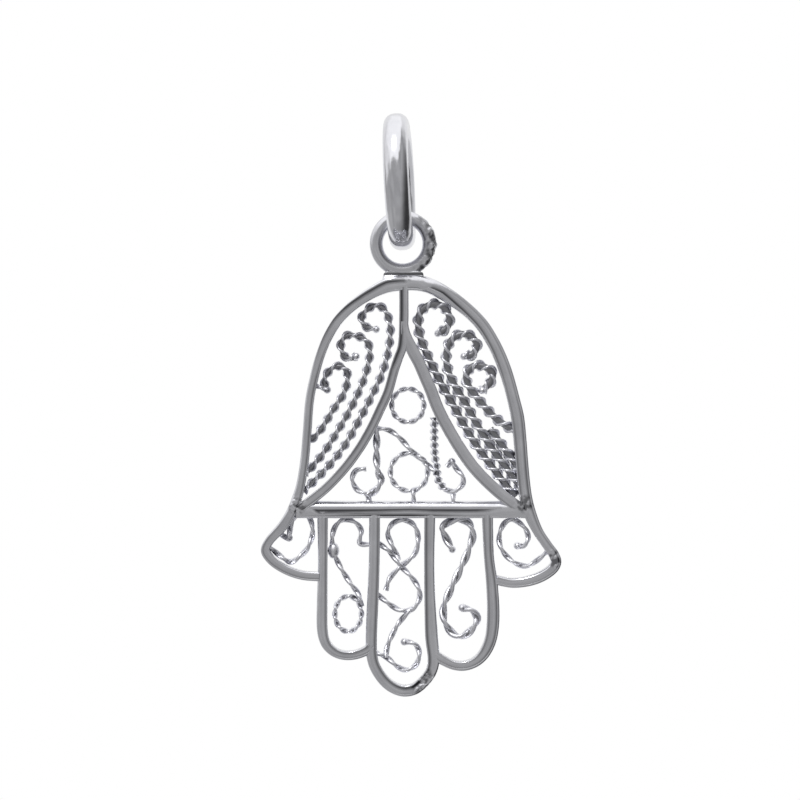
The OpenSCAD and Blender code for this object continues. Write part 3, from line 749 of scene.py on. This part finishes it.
for kind, lines, looks in (("leaf", LEAF_STRANDS, LEAF_LOOKS), ("stem", STEM_STRANDS, STEM_LOOKS),
                           ("fine", FINE_STRANDS, FINE_LOOKS)):
    for number, (rows, look) in enumerate(zip(lines, looks)):
        strand_piece("scroll_%s_%d" % (kind, number + 1), rows, *look, TURN_ON * number)
strand_piece("scroll_tie", TIE_BAR, *TIE_LOOK, 0.0)
angles = np.linspace(0, TAU, RING_POINTS)
for number, (x, h, rx, ry) in enumerate(RINGS):
    line = [(x + rx * math.cos(a), h + ry * math.sin(a)) for a in angles]
    v, f, d = twisted(line, *RING_LOOK, turns=RING_TURNS)
    add_hand_piece("ring_%d" % (number + 1), v, f, SILVER_STRAND, d, SHARP_STRAND)


# Floor, card and light, in metres
FLOOR_R, FLOOR_Z, FLOOR_SIDES = 0.06, -0.0405, 96
CARD_X, CARD_NEAR, CARD_FAR, CARD_LOW, CARD_HIGH = 0.005, 0.0014, 0.008, -0.0065, -0.0012
KEY_AT, KEY_SIZE, KEY_WATTS = (-0.025, -0.06, 0.14), 0.03, 0.05
FLOOR_COLOUR, FLOOR_ROUGH = (0.86, 0.86, 0.87, 1), 0.8
CARD_COLOUR, CARD_LIGHT, CARD_STRENGTH = (0.05, 0.05, 0.05, 1), (1, 1, 1, 1), 0.55

# Patches in the studio's light: scale and detail of their noise
PATCHES = (2.5, 3)
# How bright the parts of the studio are, the later ones over the earlier ones
FRONT_DARKER, FRONT_BRIGHTER = 0.34, 0.42
BEHIND_ABOVE, LEFT_WALL, LOWER_RIGHT, BACK_WALL, CEILING = 0.70, 0.80, 0.04, 0.85, 1.05
BACKDROP = 1.0


def add_stage(name, points, settings):
    """A flat piece of the studio, with its shader's settings."""
    mesh = bpy.data.meshes.new(name)
    mesh.from_pydata(points, [], [tuple(range(len(points)))])
    mat = bpy.data.materials.new(name)
    mat.use_nodes = True
    bsdf = mat.node_tree.nodes["Principled BSDF"]
    for socket, value in settings.items():
        bsdf.inputs[socket].default_value = value
    mesh.materials.append(mat)
    obj = add_object(name, mesh)
    return obj


def make_floor():
    turns = [TAU * k / FLOOR_SIDES for k in range(FLOOR_SIDES)]
    points = [(FLOOR_R * math.cos(a), FLOOR_R * math.sin(a), FLOOR_Z) for a in turns]
    floor = add_stage("floor", points, {"Base Color": FLOOR_COLOUR, "Roughness": FLOOR_ROUGH})
    floor.visible_glossy = False


def make_card():
    """A small white card behind the bail, to its right, that lights its inside at the back."""
    card = add_stage("card", [(CARD_X, CARD_NEAR, CARD_LOW), (CARD_X, CARD_FAR, CARD_LOW),
                              (CARD_X, CARD_FAR, CARD_HIGH), (CARD_X, CARD_NEAR, CARD_HIGH)],
                     {"Base Color": CARD_COLOUR, "Emission Color": CARD_LIGHT,
                      "Emission Strength": CARD_STRENGTH})
    card.visible_camera = card.visible_shadow = False


def make_key():
    """A soft light from the upper left, in front, that points at the origin."""
    data = bpy.data.lights.new("key", "AREA")
    data.size, data.energy = KEY_SIZE, KEY_WATTS
    key = add_object("key", data)
    key.location = KEY_AT
    key.rotation_euler = key.location.to_track_quat("Z", "Y").to_euler()


def make_world():
    """The studio: grey in front and below, white on the upper left, dark on the lower right."""
    world = bpy.data.worlds.new("studio")
    bpy.context.scene.world = world
    world.use_nodes = True
    nodes, links = world.node_tree.nodes, world.node_tree.links
    nodes.clear()
    coord = nodes.new("ShaderNodeTexCoord")
    split = nodes.new("ShaderNodeSeparateXYZ")
    links.new(coord.outputs["Generated"], split.inputs[0])
    wobble = nodes.new("ShaderNodeTexNoise")
    wobble.inputs["Scale"].default_value, wobble.inputs["Detail"].default_value = PATCHES
    links.new(coord.outputs["Generated"], wobble.inputs["Vector"])

    def plus(a, b, factor):
        """a + b * factor"""
        m = nodes.new("ShaderNodeMath")
        m.operation = "MULTIPLY_ADD"
        links.new(b, m.inputs[0])
        m.inputs[1].default_value = factor
        links.new(a, m.inputs[2])
        return m.outputs[0]

    def times(a, b):
        m = nodes.new("ShaderNodeMath")
        m.operation = "MULTIPLY"
        links.new(a, m.inputs[0])
        links.new(b, m.inputs[1])
        return m.outputs[0]

    def step(value, low, high, a=0.0, b=1.0):
        """Smoothly from a, where the value is low, to b, where it is high."""
        m = nodes.new("ShaderNodeMapRange")
        m.interpolation_type = "SMOOTHSTEP"
        for socket, v in (("From Min", low), ("From Max", high), ("To Min", a), ("To Max", b)):
            m.inputs[socket].default_value = v
        links.new(value, m.inputs["Value"])
        return m.outputs["Result"]

    def blend(under, factor, level):
        """The light under it, turned to this level by the factor."""
        m = nodes.new("ShaderNodeMix")
        links.new(factor, m.inputs["Factor"])
        links.new(under, m.inputs["A"])
        m.inputs["B"].default_value = level
        return m.outputs["Result"]

    # Each part fades in as a direction, or a mix of directions and patches, goes from one number
    # to another
    x, y, z = split.outputs
    patchy = wobble.outputs["Fac"]
    level = step(patchy, 0.35, 0.65, FRONT_DARKER, FRONT_BRIGHTER)
    level = blend(level, times(step(y, 0.1, 0.4), step(z, 0.1, 0.4)), BEHIND_ABOVE)
    left_wall = plus(plus(patchy, z, 0.9), x, -1.0)
    level = blend(level, step(left_wall, 1.45, 1.80), LEFT_WALL)
    lower_right = plus(plus(plus(x, z, -0.55), patchy, 0.2), y, 0.35)
    level = blend(level, step(lower_right, 0.35, 1.25), LOWER_RIGHT)
    level = blend(level, step(y, 0.40, 0.72), BACK_WALL)
    ceiling = plus(plus(patchy, z, 1.4), step(x, 0.1, 0.7), -0.4)
    level = blend(level, step(ceiling, 1.22, 1.50), CEILING)
    # What shows behind the pendant is plain white
    path = nodes.new("ShaderNodeLightPath")
    level = blend(level, path.outputs["Is Camera Ray"], BACKDROP)
    back = nodes.new("ShaderNodeBackground")
    links.new(level, back.inputs["Color"])
    out = nodes.new("ShaderNodeOutputWorld")
    links.new(back.outputs[0], out.inputs[0])


make_key()
make_floor()
make_card()
make_world()
bpy.context.scene.view_settings.view_transform = "Standard"
